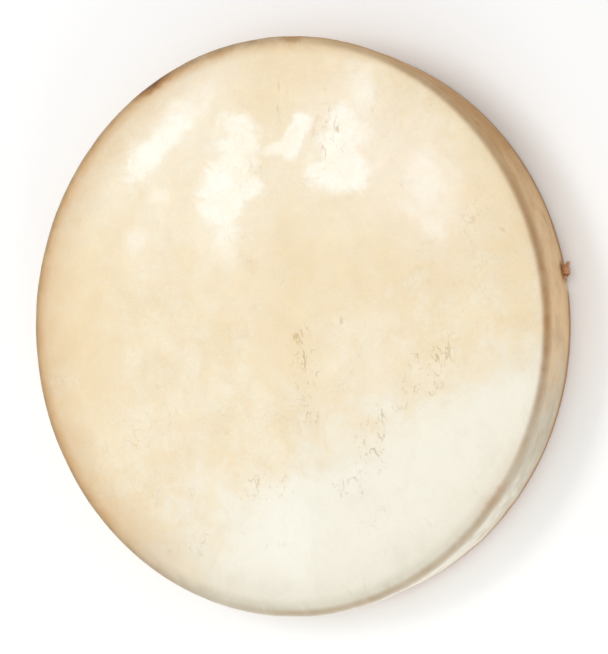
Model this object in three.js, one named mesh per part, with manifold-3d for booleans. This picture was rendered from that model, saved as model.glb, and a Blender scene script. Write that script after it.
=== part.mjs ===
// A hand-held ceremonial frame drum: one rawhide head stretched over a bent wooden hoop, with a doubled leather
// lace across the open back to hold it by. It lies face up, on the edge of its open back.
// Millimetres, +Z up. The origin is on the drum's axis, in the plane that the back edge rests on.
// +Z goes through the struck face, and +X goes through the knot of the lace.

import * as THREE from 'three';
import { mergeVertices } from 'three/addons/utils/BufferGeometryUtils.js';
import Module from 'manifold-3d';

// Driving sizes of the drum
const DRUM_DIAMETER = 406; // over the hide
const DRUM_DEPTH = 48; // from the back edge to the struck face
const HIDE_THICKNESS = 1.0;
const HOOP_WALL = 9; // thickness of the bent wood
const HOOP_FIT_GAP = 0.3; // between the hoop and the hide all round it
const HOOP_EDGE_RADIUS = 1.4; // rounding of the hoop's two back edges
const CROWN_INSET = 1.3; // from the hoop's inner face out to its highest line, under the head
const SHOULDER_DROP = 5.8; // height over which the head turns down into the side
const TURN_IN_HEIGHT = 17; // how far up the hide is turned over inside the hoop

// Driving sizes of the lace
const LACE_DIAMETER = 3.2;
const LACE_SPACING = 7; // between the two holes of a pair
const LACE_HEIGHT = 9; // of the holes above the back edge
const LACE_HOLE_CLEARANCE = 0.3; // all round the lace in its hole
const LACE_BEND_RADIUS = 2.4; // of the lace's middle line where it leaves a hole
const LACE_SAG = 2; // of the lace at the middle of the drum
const TWIST_LENGTH = 130; // of the two strands twisted together for the hand
const TWIST_TURNS = 2;
const STRAND_GAP = 0.3; // between the two twisted strands

// Driving sizes of the knot
const KNOT_HEIGHT = 4.8; // from the side of the drum outwards
const KNOT_LENGTH = 6; // around the drum
const KNOT_WIDTH = 5.8; // along the drum's axis
const KNOT_CLEARANCE = 0.3; // between the knot and the hide
const KNOT_END_LENGTH = 4.6; // of each cut end, from the middle of the knot
const KNOT_END_LIFT = 40; // degrees that a cut end rises from the line around the drum

// Facets
const RING_SEGMENTS = 72;
const SHOULDER_STEPS = 6;
const EDGE_STEPS = 3;
const LACE_SIDES = 8;
const BEND_STEPS = 4;
const RUN_STEPS = 4;
const TWIST_STEPS = 26;

// Sizes that follow from them
const outerRadius = DRUM_DIAMETER / 2;
const hoopOuterRadius = outerRadius - HIDE_THICKNESS - HOOP_FIT_GAP;
const hoopInnerRadius = hoopOuterRadius - HOOP_WALL;
const hoopBottom = HIDE_THICKNESS + HOOP_FIT_GAP;
const hoopTop = DRUM_DEPTH - HIDE_THICKNESS - HOOP_FIT_GAP;
const crownRadius = hoopInnerRadius + CROWN_INSET;
const shoulderWidth = outerRadius - crownRadius;
const leafInnerRadius = hoopInnerRadius - HOOP_FIT_GAP - HIDE_THICKNESS;
const hideEdgeRadius = HOOP_EDGE_RADIUS + HOOP_FIT_GAP + HIDE_THICKNESS;

const wasm = await Module();
wasm.setup();

// A closed geometry as a solid for boolean work.
function toSolid(geometry) {
  const bare = geometry.clone();
  bare.deleteAttribute('normal');
  bare.deleteAttribute('uv');
  const merged = mergeVertices(bare, 1e-4);
  return new wasm.Manifold(
    new wasm.Mesh({
      numProp: 3,
      vertProperties: merged.attributes.position.array,
      triVerts: new Uint32Array(merged.index.array),
    }),
  );
}

function toGeometry(solid) {
  const mesh = solid.getMesh();
  const geometry = new THREE.BufferGeometry();
  geometry.setAttribute('position', new THREE.BufferAttribute(mesh.vertProperties, 3));
  geometry.setIndex(new THREE.BufferAttribute(mesh.triVerts, 1));
  geometry.computeVertexNormals();
  return geometry;
}

// Points (radius, height) along an elliptical arc; 0 degrees points away from the axis and 90 degrees up.
function arc(centreRadius, centreHeight, across, up, fromDegrees, toDegrees, steps) {
  return Array.from({ length: steps + 1 }, (_, i) => {
    const angle = THREE.MathUtils.degToRad(THREE.MathUtils.lerp(fromDegrees, toDegrees, i / steps));
    return new THREE.Vector2(centreRadius + across * Math.cos(angle), centreHeight + up * Math.sin(angle));
  });
}

// The shoulder, seen as a quarter ellipse, that lies a given distance inside the drum's outer surface.
function shoulder(inset, fromDegrees, toDegrees) {
  const across = shoulderWidth - inset;
  const up = SHOULDER_DROP - inset;
  return arc(crownRadius, DRUM_DEPTH - SHOULDER_DROP, across, up, fromDegrees, toDegrees, SHOULDER_STEPS);
}

// A profile of (radius, height) points turned about the drum's axis.
function turned(profile) {
  return new THREE.LatheGeometry(profile, RING_SEGMENTS).rotateX(Math.PI / 2);
}

// The holes that the lace runs through: two straight bores from side to side of the drum.
function laceHoles() {
  const radius = LACE_DIAMETER / 2 + LACE_HOLE_CLEARANCE;
  const reach = DRUM_DIAMETER * 1.1;
  return [-1, 1].map((side) =>
    toSolid(
      new THREE.CylinderGeometry(radius, radius, reach, 2 * LACE_SIDES)
        .rotateZ(Math.PI / 2)
        .translate(0, (side * LACE_SPACING) / 2, LACE_HEIGHT),
    ),
  );
}

function drilled(solid) {
  return laceHoles().reduce((rest, hole) => rest.subtract(hole), solid);
}

// The rawhide: the struck face, the shoulder, the side, the back edge and the leaf that is turned in.
function rawhideHead() {
  const r = hideEdgeRadius;
  const t = HIDE_THICKNESS;
  const profile = [
    new THREE.Vector2(0, DRUM_DEPTH - t),
    ...shoulder(t, 90, 0),
    ...arc(outerRadius - r, r, r - t, r - t, 0, -90, EDGE_STEPS),
    ...arc(leafInnerRadius + r, r, r - t, r - t, -90, -180, EDGE_STEPS),
    new THREE.Vector2(leafInnerRadius + t, TURN_IN_HEIGHT),
    new THREE.Vector2(leafInnerRadius, TURN_IN_HEIGHT),
    ...arc(leafInnerRadius + r, r, r, r, -180, -90, EDGE_STEPS),
    ...arc(outerRadius - r, r, r, r, -90, 0, EDGE_STEPS),
    ...shoulder(0, 0, 90),
    new THREE.Vector2(0, DRUM_DEPTH),
  ];
  return toGeometry(drilled(toSolid(turned(profile))));
}

// The hoop: a strip of wood bent round, its outer front edge shaped to the shoulder under the hide.
function bentHoop() {
  const e = HOOP_EDGE_RADIUS;
  const c = CROWN_INSET;
  const profile = [
    ...arc(hoopInnerRadius + e, hoopBottom + e, e, e, -180, -90, EDGE_STEPS),
    ...arc(hoopOuterRadius - e, hoopBottom + e, e, e, -90, 0, EDGE_STEPS),
    ...shoulder(HIDE_THICKNESS + HOOP_FIT_GAP, 0, 90),
    ...arc(crownRadius, hoopTop - c, c, c, 90, 180, EDGE_STEPS).slice(1),
  ];
  profile.push(profile[0].clone());
  return toGeometry(drilled(toSolid(turned(profile))));
}

// The middle line of a lace. Its steps go from point to point, so that bends get more of them than straight runs.
class LaceRoute extends THREE.CatmullRomCurve3 {
  getPointAt(u, target) {
    return this.getPoint(u, target);
  }

  getTangentAt(u, target) {
    return this.getTangent(u, target);
  }
}

// The quarter turn that a strand makes just outside a hole, from the hole to the line around the drum.
function laceBend(end, side) {
  const b = LACE_BEND_RADIUS;
  return Array.from({ length: BEND_STEPS + 1 }, (_, i) => {
    const angle = (i / BEND_STEPS) * (Math.PI / 2);
    return new THREE.Vector3(
      end * (outerRadius + b * Math.sin(angle)),
      side * (LACE_SPACING / 2 - b + b * Math.cos(angle)),
      LACE_HEIGHT,
    );
  });
}

// One strand from the holes at -X to those at +X: straight, then twisted round the other strand, then straight.
function laceStrand(side) {
  const inner = leafInnerRadius - LACE_DIAMETER;
  const twistEnd = TWIST_LENGTH / 2;
  const turnRadius = (LACE_DIAMETER + STRAND_GAP) / 2;
  const hang = (x) => LACE_HEIGHT - LACE_SAG * (1 - (x / inner) ** 2);
  const run = Array.from({ length: RUN_STEPS }, (_, i) => {
    const share = i / RUN_STEPS;
    const x = THREE.MathUtils.lerp(inner, twistEnd, share);
    return new THREE.Vector3(x, side * THREE.MathUtils.lerp(LACE_SPACING / 2, turnRadius, share), hang(x));
  });
  const twist = Array.from({ length: TWIST_STEPS + 1 }, (_, i) => {
    const u = i / TWIST_STEPS;
    const x = (u - 0.5) * TWIST_LENGTH;
    const angle = TWIST_TURNS * (2 * Math.PI * u - Math.sin(2 * Math.PI * u));
    const out = side * turnRadius;
    return new THREE.Vector3(x, out * Math.cos(angle), hang(x) + out * Math.sin(angle));
  });
  const mirrored = run.map((p) => new THREE.Vector3(-p.x, p.y, p.z));
  return [...mirrored, ...twist, ...run.reverse()];
}

// A tube of the lace's diameter along its middle line.
function laceTube(points) {
  const section = new THREE.Shape(
    Array.from({ length: LACE_SIDES }, (_, i) => {
      const angle = (2 * Math.PI * i) / LACE_SIDES;
      return new THREE.Vector2(Math.cos(angle), Math.sin(angle)).multiplyScalar(LACE_DIAMETER / 2);
    }),
  );
  return new THREE.ExtrudeGeometry(section, { steps: points.length - 1, extrudePath: new LaceRoute(points) });
}

// The knot outside the hoop, where the two ends of the lace are tied, with its two cut ends.
function knotSolid() {
  const centre = new THREE.Vector3(outerRadius + KNOT_CLEARANCE + KNOT_HEIGHT / 2, 0, LACE_HEIGHT);
  const body = new THREE.SphereGeometry(0.5, 14, 9).scale(KNOT_HEIGHT, KNOT_LENGTH, KNOT_WIDTH);
  const lift = THREE.MathUtils.degToRad(KNOT_END_LIFT);
  const ends = [-1, 1].map((side) =>
    new THREE.CylinderGeometry(LACE_DIAMETER / 2, LACE_DIAMETER / 2, KNOT_END_LENGTH, LACE_SIDES)
      .translate(0, KNOT_END_LENGTH / 2, 0)
      .scale(1, side, 1)
      .rotateX(lift),
  );
  ends[0].index.array.reverse();
  return [body, ...ends]
    .map((geometry) => toSolid(geometry.translate(centre.x, centre.y, centre.z)))
    .reduce((joined, piece) => joined.add(piece));
}

// The lace: out of one hole, across, round outside the far side, back again and into the knot.
function gripLace() {
  const route = [
    ...laceBend(1, 1).reverse(),
    ...laceStrand(1).reverse(),
    ...laceBend(-1, 1),
    ...laceBend(-1, -1).reverse(),
    ...laceStrand(-1),
    ...laceBend(1, -1),
  ];
  return toGeometry(toSolid(laceTube(route)).add(knotSolid()));
}

function material(colour, roughness) {
  return new THREE.MeshStandardMaterial({ color: colour, roughness, metalness: 0 });
}

function named(name, geometry, finish) {
  const mesh = new THREE.Mesh(geometry, finish);
  mesh.name = name;
  return mesh;
}

const drum = new THREE.Group();
drum.add(named('rawhide_head', rawhideHead(), material(0xeedfc0, 0.4)));
drum.add(named('bent_hoop', bentHoop(), material(0xb98d5c, 0.6)));
drum.add(named('grip_lace', gripLace(), material(0x7a4526, 0.7)));

export default drum;
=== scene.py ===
import math

import bpy
import numpy as np
from bpy.props import FloatProperty, FloatVectorProperty, IntProperty, PointerProperty
from mathutils import Matrix, Vector


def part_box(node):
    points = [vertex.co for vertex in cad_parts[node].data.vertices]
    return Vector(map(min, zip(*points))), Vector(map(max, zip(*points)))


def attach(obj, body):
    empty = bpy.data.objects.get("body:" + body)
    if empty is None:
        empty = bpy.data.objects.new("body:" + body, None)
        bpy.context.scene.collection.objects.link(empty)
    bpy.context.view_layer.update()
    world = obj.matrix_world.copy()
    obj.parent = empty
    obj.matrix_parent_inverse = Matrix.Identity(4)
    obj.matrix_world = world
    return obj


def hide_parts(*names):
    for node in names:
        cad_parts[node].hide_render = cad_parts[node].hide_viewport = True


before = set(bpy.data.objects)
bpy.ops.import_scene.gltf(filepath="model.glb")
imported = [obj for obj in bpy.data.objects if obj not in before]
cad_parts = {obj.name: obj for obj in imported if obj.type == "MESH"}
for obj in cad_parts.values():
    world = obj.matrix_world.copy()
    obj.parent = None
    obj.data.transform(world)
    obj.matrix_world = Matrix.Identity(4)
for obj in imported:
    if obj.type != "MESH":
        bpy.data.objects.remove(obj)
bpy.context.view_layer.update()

bl_info = {
    "name": "Rawhide Frame Drum",
    "version": (1, 0, 0),
    "blender": (4, 5, 0),
    "location": "View3D > Sidebar > Drum",
    "description": "Dresses a hand-held frame drum: rawhide head, bent hoop, leather lace and a studio",
    "category": "Add Mesh",
}

MM = 0.001
HIDE_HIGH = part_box("rawhide_head")[1]
OUTER_RADIUS = HIDE_HIGH.x
DEPTH = HIDE_HIGH.z
# Where the camera's right hand points, as an angle round the drum's axis from the knot
SHOWN_SIDE = math.radians(-9.96)


# Sizes and colours


def length(name, description, default_mm):
    return FloatProperty(
        name=name, description=description, default=default_mm * MM,
        precision=5, subtype="DISTANCE", unit="LENGTH",
    )


def rotation(name, description, degrees):
    return FloatProperty(
        name=name, description=description, default=math.radians(degrees),
        subtype="ANGLE", unit="ROTATION",
    )


def power(name, description, watts):
    return FloatProperty(name=name, description=description, default=watts, subtype="POWER")


def colour(name, description, default):
    return FloatVectorProperty(
        name=name, description=description, default=default, size=3, min=0.0, max=1.0, subtype="COLOR"
    )


class RawhideSettings(bpy.types.PropertyGroup):
    thickness: length("Thickness", "Thickness of the dried hide", 1.0)
    shoulder_drop: length("Shoulder drop", "From the face down to where the side becomes straight", 5.8)
    leaf_height: length("Leaf height", "Height of the turned-in leaf's highest tongues", 17.0)
    ragged: length("Ragged edge", "How far the knife wandered along the leaf's cut edge", 2.4)
    ripple: length("Ripple", "Height of the ripples in the struck face", 0.13)
    pucker: length("Pucker", "Height of the puckers in the side and the leaf", 0.14)
    knot_dent: length("Knot dent", "How far the tied knot draws the hide in", 0.2)
    cream: colour("Cream", "Main colour of the hide", (0.895, 0.768, 0.535))
    warm: colour("Warm", "Warmer clouds in the hide", (0.835, 0.66, 0.40))
    # Pale: partly bleached hide, partly painted light on the lower right of the face and the side
    pale: colour("Pale", "Bleached part of the hide", (0.888, 0.860, 0.745))
    # Painted highlight on the polished patches and painted sheen round them; also the paler rubbed spot by
    # the knot
    polish_and_highlight: colour("Polished", "Polished patches in the face", (0.97, 0.95, 0.85))
    blush: colour("Blush", "Paler, pinker zones in the face", (0.94, 0.83, 0.68))
    # Tan on the face's edge is partly handling grime and partly painted shade
    tan: colour("Tan", "Handled edge of the face, the creases and the foot of the side", (0.60, 0.375, 0.17))
    # Side colours: Dark side is painted shade, the main side colour is darker than the face partly as painted
    # shade, and Grey side is partly bleached hide, partly painted light
    side: colour("Side", "Main colour of the side", (0.78, 0.525, 0.275))
    side_shade: colour("Dark side", "Side where it is handled most", (0.50, 0.245, 0.05))
    side_grey: colour("Grey side", "Side where the hide is bleached", (0.58, 0.53, 0.41))
    # Brown and Grey line also paint the shoulder line, partly grime and partly painted shade
    brown: colour("Brown", "Scuffs, the shoulder line and the back edge", (0.38, 0.18, 0.05))
    line_grey: colour("Grey line", "The line along the shoulder where it is not brown", (0.40, 0.29, 0.175))
    # This colour is painted shade along the drum's outline, broken up like grime
    edge_grime_and_shade: colour("Grey edge", "Grime along the outermost line of the shoulder", (0.27, 0.19, 0.105))
    dull: colour("Dull", "Dulled clouds in the face", (0.66, 0.53, 0.33))
    fleck: colour("Fleck", "Small flecks all over the hide", (0.66, 0.50, 0.28))
    scuff_core: colour("Scuff core", "Darkest part of the scuff on the shoulder", (0.12, 0.04, 0.01))
    hair_brown: colour("Brown hairs", "Hairline marks in the warm part", (0.50, 0.33, 0.12))
    hair_grey: colour("Grey hairs", "Hairline marks in the bleached part", (0.40, 0.36, 0.26))


class HoopSettings(bpy.types.PropertyGroup):
    wall: length("Wall", "Thickness of the bent wood", 9.0)
    fit_gap: length("Fit gap", "Gap between the wood and the hide", 0.3)
    edge_radius: length("Edge radius", "Rounding of the two back edges", 1.4)
    crown_inset: length("Crown inset", "From the inner face out to the highest line of the wood", 1.3)
    planing: length("Planing", "Height of the waves that the plane left", 0.06)
    lap_place: length("Lap place", "From the knot round the outside to the glued edge of the lap", 310.0)
    wood: colour("Wood", "Main colour of the wood", (0.56, 0.35, 0.17))
    wood_dark: colour("Dark grain", "Colour of the dark grain", (0.33, 0.18, 0.08))
    pore: colour("Pores", "Open pores of the wood", (0.16, 0.085, 0.04))
    grime: colour("Grime", "Grime on the wood", (0.22, 0.13, 0.07))
    glue: colour("Glue line", "Line where the lapped ends are glued", (0.10, 0.05, 0.025))


class LaceSettings(bpy.types.PropertyGroup):
    width: length("Width", "Width of the lace", 2.9)
    thickness: length("Thickness", "Thickness of the lace", 2.1)
    spacing: length("Hole spacing", "Between the two holes of a pair", 7.0)
    height: length("Hole height", "Height of the holes above the back edge", 9.0)
    hole: length("Hole", "Diameter of a hole", 3.8)
    bend: length("Bend", "Radius of the turn just outside a hole", 2.4)
    sag: length("Sag", "Sag at the middle of the drum", 2.0)
    twist_length: length("Twist length", "Length of the two strands twisted together", 130.0)
    twist_turns: IntProperty(name="Twist turns", description="Turns in the middle", default=2, min=0, max=8)
    twist_radius: length("Twist radius", "From the twist's axis to the middle of a strand", 1.45)
    run_inset: length("Run inset", "From the side in to where a strand leans towards the twist", 14.8)
    knot_out: length("Knot middle", "From the side out to the middle of the knot", 2.35)
    knot_radius: length("Knot radius", "Radius of the lace's middle line in the fullest winding", 1.95)
    leather: colour("Leather", "Main colour of the lace", (0.46, 0.20, 0.08))
    # Worn leather: partly rub wear, partly a painted highlight on the lace's corners
    leather_worn_and_highlight: colour("Worn leather", "Rubbed edges of the lace", (0.78, 0.50, 0.30))
    cut_end: colour("Cut end", "Dry cut ends of the lace", (0.62, 0.57, 0.49))


class StudioSettings(bpy.types.PropertyGroup):
    camera_tilt: rotation("Camera tilt", "Between the drum's axis and the line of sight", 26.44)
    camera_roll: rotation("Camera roll", "Turn of the camera about the line of sight", 0.55)
    camera_distance: length("Camera distance", "From the camera to the struck face", 1005.9)
    camera_right: length("Camera right", "From the face's centre to the line of sight, to the right", 25.1)
    camera_up: length("Camera up", "From the face's centre to the line of sight, upwards", -0.2)
    lens: FloatProperty(name="Lens", description="Focal length in millimetres", default=79.28)
    key_power: power("Key power", "Power of the window light", 4.2)
    top_power: power("Top power", "Power of the overhead light", 8.0)
    low_power: power("Low power", "Power of the low fill light", 5.0)
    back_power: power("Back power", "Power of the light on the back", 2.5)
    room: FloatProperty(name="Room", description="Brightness of the room", default=0.62)
    floor_inset: length("Floor inset", "From the drum's side in to the edge of the floor's opening", 3.2)
    floor_reach: length("Floor reach", "Radius of the floor", 25000.0)
    floor: colour("Floor", "Colour of the floor", (0.985, 0.985, 0.98))
    backdrop: colour("Backdrop", "What the camera sees past the floor", (0.95, 0.95, 0.945))


# Surfaces


def new_object(name, points, faces, uv=None):
    """A smooth mesh object of the points, its faces given as one array of quads and one of triangles.

    uv gives, for each corner of each face in turn, a place on the material's own map."""
    mesh = bpy.data.meshes.new(name)
    quads, triangles = faces
    corners = np.concatenate([quads.ravel(), triangles.ravel()]).astype(np.int32)
    sides = np.concatenate([np.full(len(quads), 4), np.full(len(triangles), 3)]).astype(np.int32)
    mesh.vertices.add(len(points))
    mesh.vertices.foreach_set("co", np.ascontiguousarray(points, dtype=np.float32).ravel())
    mesh.loops.add(len(corners))
    mesh.loops.foreach_set("vertex_index", corners)
    mesh.polygons.add(len(sides))
    mesh.polygons.foreach_set("loop_start", (np.cumsum(sides) - sides).astype(np.int32))
    mesh.polygons.foreach_set("use_smooth", np.ones(len(sides), dtype=bool))
    if uv is not None:
        mesh.uv_layers.new(name="UVMap").uv.foreach_set("vector", uv.astype(np.float32).ravel())
    mesh.update(calc_edges=True)
    if mesh.validate():
        raise RuntimeError(name + ": the mesh had faulty faces")
    made = bpy.data.objects.new(name, mesh)
    bpy.context.scene.collection.objects.link(made)
    return made


def ring_quads(rows, steps, close_rows=False):
    """Quads between neighbouring rings of points. Point (i, j) has index i * steps + j. Each ring closes."""
    i = np.arange(rows if close_rows else rows - 1)[:, None] * steps
    k = (np.arange(rows if close_rows else rows - 1)[:, None] + 1) % rows * steps
    j = np.arange(steps)
    n = (j + 1) % steps
    return np.stack([i + j, k + j, k + n, i + n], -1).reshape(-1, 4)


def end_fans(rings, steps):
    """Triangles from the first and the last ring to two end points, whose indices follow the rings' own."""
    j = np.arange(steps)
    n = (j + 1) % steps
    count, last = rings * steps, (rings - 1) * steps
    return np.vstack([
        np.stack([np.full(steps, count), n, j], -1),
        np.stack([np.full(steps, count + 1), last + j, last + n], -1),
    ])


def turned(profile, angles):
    """A profile of (radius, height) rows carried round the drum's axis: (r cos a, r sin a, h)."""
    radius, height = profile[..., 0], profile[..., 1]
    shape = np.broadcast_shapes(radius.shape, angles.shape)
    return np.stack(
        [radius * np.cos(angles), radius * np.sin(angles), np.broadcast_to(height, shape)], -1
    )


def arc(radius, height, across, up, start, end, steps):
    """An elliptical arc's (radius, height) rows and normals, from start to end degrees, start left out."""
    angle = np.radians(start + (end - start) * np.arange(1, steps + 1) / steps)
    rows = np.stack([radius + across * np.cos(angle), height + up * np.sin(angle)], -1)
    normals = np.stack([np.cos(angle) / across, np.sin(angle) / up], -1)
    return rows, normals / np.linalg.norm(normals, axis=1, keepdims=True)


def straight(start, end, steps, normal):
    """Evenly spaced rows from start to end, start left out, all with one normal."""
    share = np.arange(1, steps + 1)[:, None] / steps
    rows = np.array(start) + (np.array(end) - np.array(start)) * share
    return rows, np.tile(np.array(normal, float), (steps, 1))


def waves(points, wavelength, seed, count=20):
    """A sum of plane waves through space: the cosine of distance along a random direction, at a random phase
    and a wavelength from 0.65 to 1.6 times the one asked, divided by the square root of half the count."""
    rng = np.random.default_rng(seed)
    directions = rng.normal(size=(count, 3))
    directions /= np.linalg.norm(directions, axis=1, keepdims=True)
    directions *= 2 * np.pi / (wavelength * rng.uniform(0.65, 1.6, size=(count, 1)))
    phases = rng.uniform(0, 2 * np.pi, count)
    total = sum(np.cos(points @ direction + phase) for direction, phase in zip(directions, phases))
    return total / math.sqrt(count / 2)


def smooth_path(controls, steps):
    """A Catmull-Rom curve through the rows of controls: in each span, the cubic whose slope at a control is
    half the way between its neighbours."""
    padded = np.vstack([2 * controls[:1] - controls[1:2], controls, 2 * controls[-1:] - controls[-2:-1]])
    a, b, c, d = (padded[k : len(padded) - 3 + k, None, :] for k in range(4))
    t = (np.arange(steps) / steps)[None, :, None]
    spans = 0.5 * (2 * b + (c - a) * t + (2 * a - 5 * b + 4 * c - d) * t**2 + (3 * b - a - 3 * c + d) * t**3)
    return np.vstack([spans.reshape(-1, controls.shape[1]), controls[-1:]])


def bore_lace_holes(piece, lace):
    """Cuts the lace's two straight bores, from side to side of the drum, out of a closed piece."""
    steps = 24
    angles = np.arange(steps) * 2 * np.pi / steps
    ends = np.array([[-1.1, 0.0, 0.0], [1.1, 0.0, 0.0]]) * OUTER_RADIUS
    for side in (-1, 1):
        middle = np.array([0.0, side * lace.spacing / 2, lace.height])
        section = middle + np.stack([0 * angles, np.cos(angles), np.sin(angles)], -1) * lace.hole / 2
        points = np.vstack([section + ends[0], section + ends[1], middle + ends])
        drill = new_object("lace_drill", points, (ring_quads(2, steps)[:, ::-1], end_fans(2, steps)))
        cut = piece.modifiers.new("lace_hole", "BOOLEAN")
        cut.operation = "DIFFERENCE"
        cut.solver = "MANIFOLD"
        cut.object = drill
        bored = bpy.data.meshes.new_from_object(piece.evaluated_get(bpy.context.evaluated_depsgraph_get()))
        piece.modifiers.clear()
        old = piece.data
        bored.name = old.name + "_bored"
        piece.data = bored
        bored.materials.clear()
        bpy.data.meshes.remove(old)
        bpy.data.objects.remove(drill)


# Shader nodes

FLOAT, VECTOR = "NodeSocketFloat", "NodeSocketVector"


def put(tree, kind, inputs=None, **options):
    """Adds a node, sets its options, and gives each named or numbered input a value or a link."""
    node = tree.nodes.new(kind)
    for name, value in options.items():
        setattr(node, name, value)
    for key, value in (inputs or {}).items():
        if isinstance(value, bpy.types.NodeSocket):
            tree.links.new(value, node.inputs[key])
        else:
            node.inputs[key].default_value = value
    return node


def maths(tree, operation, *values, clamp=False):
    node = put(tree, "ShaderNodeMath", dict(enumerate(values)), operation=operation, use_clamp=clamp)
    return node.outputs[0]


def times(tree, first, second):
    return maths(tree, "MULTIPLY", first, second)


def vector_maths(tree, operation, *values):
    node = put(tree, "ShaderNodeVectorMath", dict(enumerate(values)), operation=operation)
    return node.outputs["Value" if operation in ("LENGTH", "DOT_PRODUCT", "DISTANCE") else "Vector"]


def scaled(tree, vector, factor):
    return put(tree, "ShaderNodeVectorMath", {0: vector, "Scale": factor}, operation="SCALE").outputs[0]


def ramp(tree, value, low, high, start=0.0, end=1.0):
    """A smooth step of value, from start at low to end at high."""
    inputs = {"Value": value, "From Min": low, "From Max": high, "To Min": start, "To Max": end}
    return put(tree, "ShaderNodeMapRange", inputs, interpolation_type="SMOOTHSTEP").outputs[0]


def noise(tree, vector, scale, detail=3.0, roughness=0.55, distortion=0.0):
    inputs = {"Vector": vector, "Scale": scale, "Detail": detail, "Roughness": roughness}
    return put(tree, "ShaderNodeTexNoise", {**inputs, "Distortion": distortion}).outputs[0]


def blend(tree, factor, first, second):
    node = put(tree, "ShaderNodeMix", {0: factor, 6: first, 7: second}, data_type="RGBA")
    return node.outputs[2]


def rgba(value):
    return (*value, 1.0)


def coated(tree, colour, coats):
    """A colour with coats of other colours blended over it in turn, each where its mask covers."""
    total = rgba(colour)
    for mask, coat in coats:
        total = blend(tree, mask, total, rgba(coat))
    return total


def new_group(name, inputs, outputs):
    """A shader node group with its input and output nodes. Each socket is given as name, kind and default."""
    tree = bpy.data.node_groups.new(name, "ShaderNodeTree")
    for socket, kind, default in inputs:
        made = tree.interface.new_socket(name=socket, in_out="INPUT", socket_type=kind)
        if default is not None:
            made.default_value = default
    for socket, kind in outputs:
        tree.interface.new_socket(name=socket, in_out="OUTPUT", socket_type=kind)
    return tree, tree.nodes.new("NodeGroupInput").outputs, tree.nodes.new("NodeGroupOutput").inputs


def use_group(tree, name, inputs):
    return put(tree, "ShaderNodeGroup", inputs, node_tree=bpy.data.node_groups[name]).outputs


def build_stain_group():
    """A ragged oval patch, 1 inside and 0 outside: its distance in half widths is shaken by a noise."""
    tree, given, result = new_group(
        "Ragged stain",
        [
            ("Position", VECTOR, None),
            ("Noise", FLOAT, 0.5),
            ("Centre", VECTOR, (0.0, 0.0, 0.0)),
            ("Half width", VECTOR, (0.02, 0.02, 0.02)),
            ("Turn", FLOAT, 0.0),
            ("Softness", FLOAT, 0.4),
            ("Raggedness", FLOAT, 0.6),
        ],
        [("Mask", FLOAT)],
    )
    away = vector_maths(tree, "SUBTRACT", given["Position"], given["Centre"])
    turned_away = put(
        tree, "ShaderNodeVectorRotate", {"Vector": away, "Angle": given["Turn"]}, rotation_type="Z_AXIS"
    ).outputs[0]
    distance = vector_maths(tree, "LENGTH", vector_maths(tree, "DIVIDE", turned_away, given["Half width"]))
    shake = times(tree, given["Raggedness"], 4.0)
    shake = times(tree, maths(tree, "SUBTRACT", given["Noise"], 0.5), shake)
    shaken = maths(tree, "ADD", distance, shake)
    low = maths(tree, "SUBTRACT", 1.0, given["Softness"])
    high = maths(tree, "ADD", 1.0, given["Softness"])
    tree.links.new(ramp(tree, shaken, low, high, 1.0, 0.0), result["Mask"])


def build_crease_group():
    """A fine line between two points: 1 on it, falling to 0 at its width, a little shaken by a noise."""
    tree, given, result = new_group(
        "Crease",
        [
            ("Position", VECTOR, None),
            ("Wander", VECTOR, (0.5, 0.5, 0.5)),
            ("Start", VECTOR, (0.0, 0.0, 0.0)),
            ("End", VECTOR, (0.0, 0.0, 0.0)),
            ("Width", FLOAT, 0.001),
        ],
        [("Mask", FLOAT)],
    )
    wander = scaled(tree, vector_maths(tree, "SUBTRACT", given["Wander"], (0.5, 0.5, 0.5)), 0.01)
    place = vector_maths(tree, "ADD", given["Position"], wander)
    place = vector_maths(tree, "SUBTRACT", place, given["Start"])
    whole = vector_maths(tree, "SUBTRACT", given["End"], given["Start"])
    reached = vector_maths(tree, "DOT_PRODUCT", place, whole)
    along = maths(tree, "DIVIDE", reached, vector_maths(tree, "DOT_PRODUCT", whole, whole), clamp=True)
    nearest = scaled(tree, whole, along)
    distance = vector_maths(tree, "DISTANCE", place, nearest)
    fade = times(tree, ramp(tree, along, 0.0, 0.25), ramp(tree, along, 0.75, 1.0, 1.0, 0.0))
    line = times(tree, ramp(tree, distance, 0.0, given["Width"], 1.0, 0.0), fade)
    tree.links.new(line, result["Mask"])


def build_skin_group():
    """Dried skin: fine pores and a coarser cobble as Height, cloudy depth of colour as Clouds, and Specks."""
    tree, given, result = new_group(
        "Dried skin",
        [
            ("Position", VECTOR, None),
            ("Pore scale", FLOAT, 1500.0),
            ("Cloud scale", FLOAT, 14.0),
        ],
        [("Height", FLOAT), ("Clouds", FLOAT), ("Specks", FLOAT)],
    )
    pores = noise(tree, given["Position"], given["Pore scale"], 1.0, 0.5)
    cobble_scale = times(tree, given["Pore scale"], 0.22)
    cobble = noise(tree, given["Position"], cobble_scale, 5.0, 0.65, 0.3)
    height = maths(tree, "ADD", times(tree, pores, 0.18), times(tree, cobble, 0.82))
    tree.links.new(height, result["Height"])
    clouds = noise(tree, given["Position"], given["Cloud scale"], 7.0, 0.62, 0.5)
    tree.links.new(ramp(tree, clouds, 0.32, 0.68), result["Clouds"])
    specks = noise(tree, given["Position"], times(tree, given["Pore scale"], 0.3), 3.0, 0.7)
    tree.links.new(ramp(tree, specks, 0.62, 0.75), result["Specks"])


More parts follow.
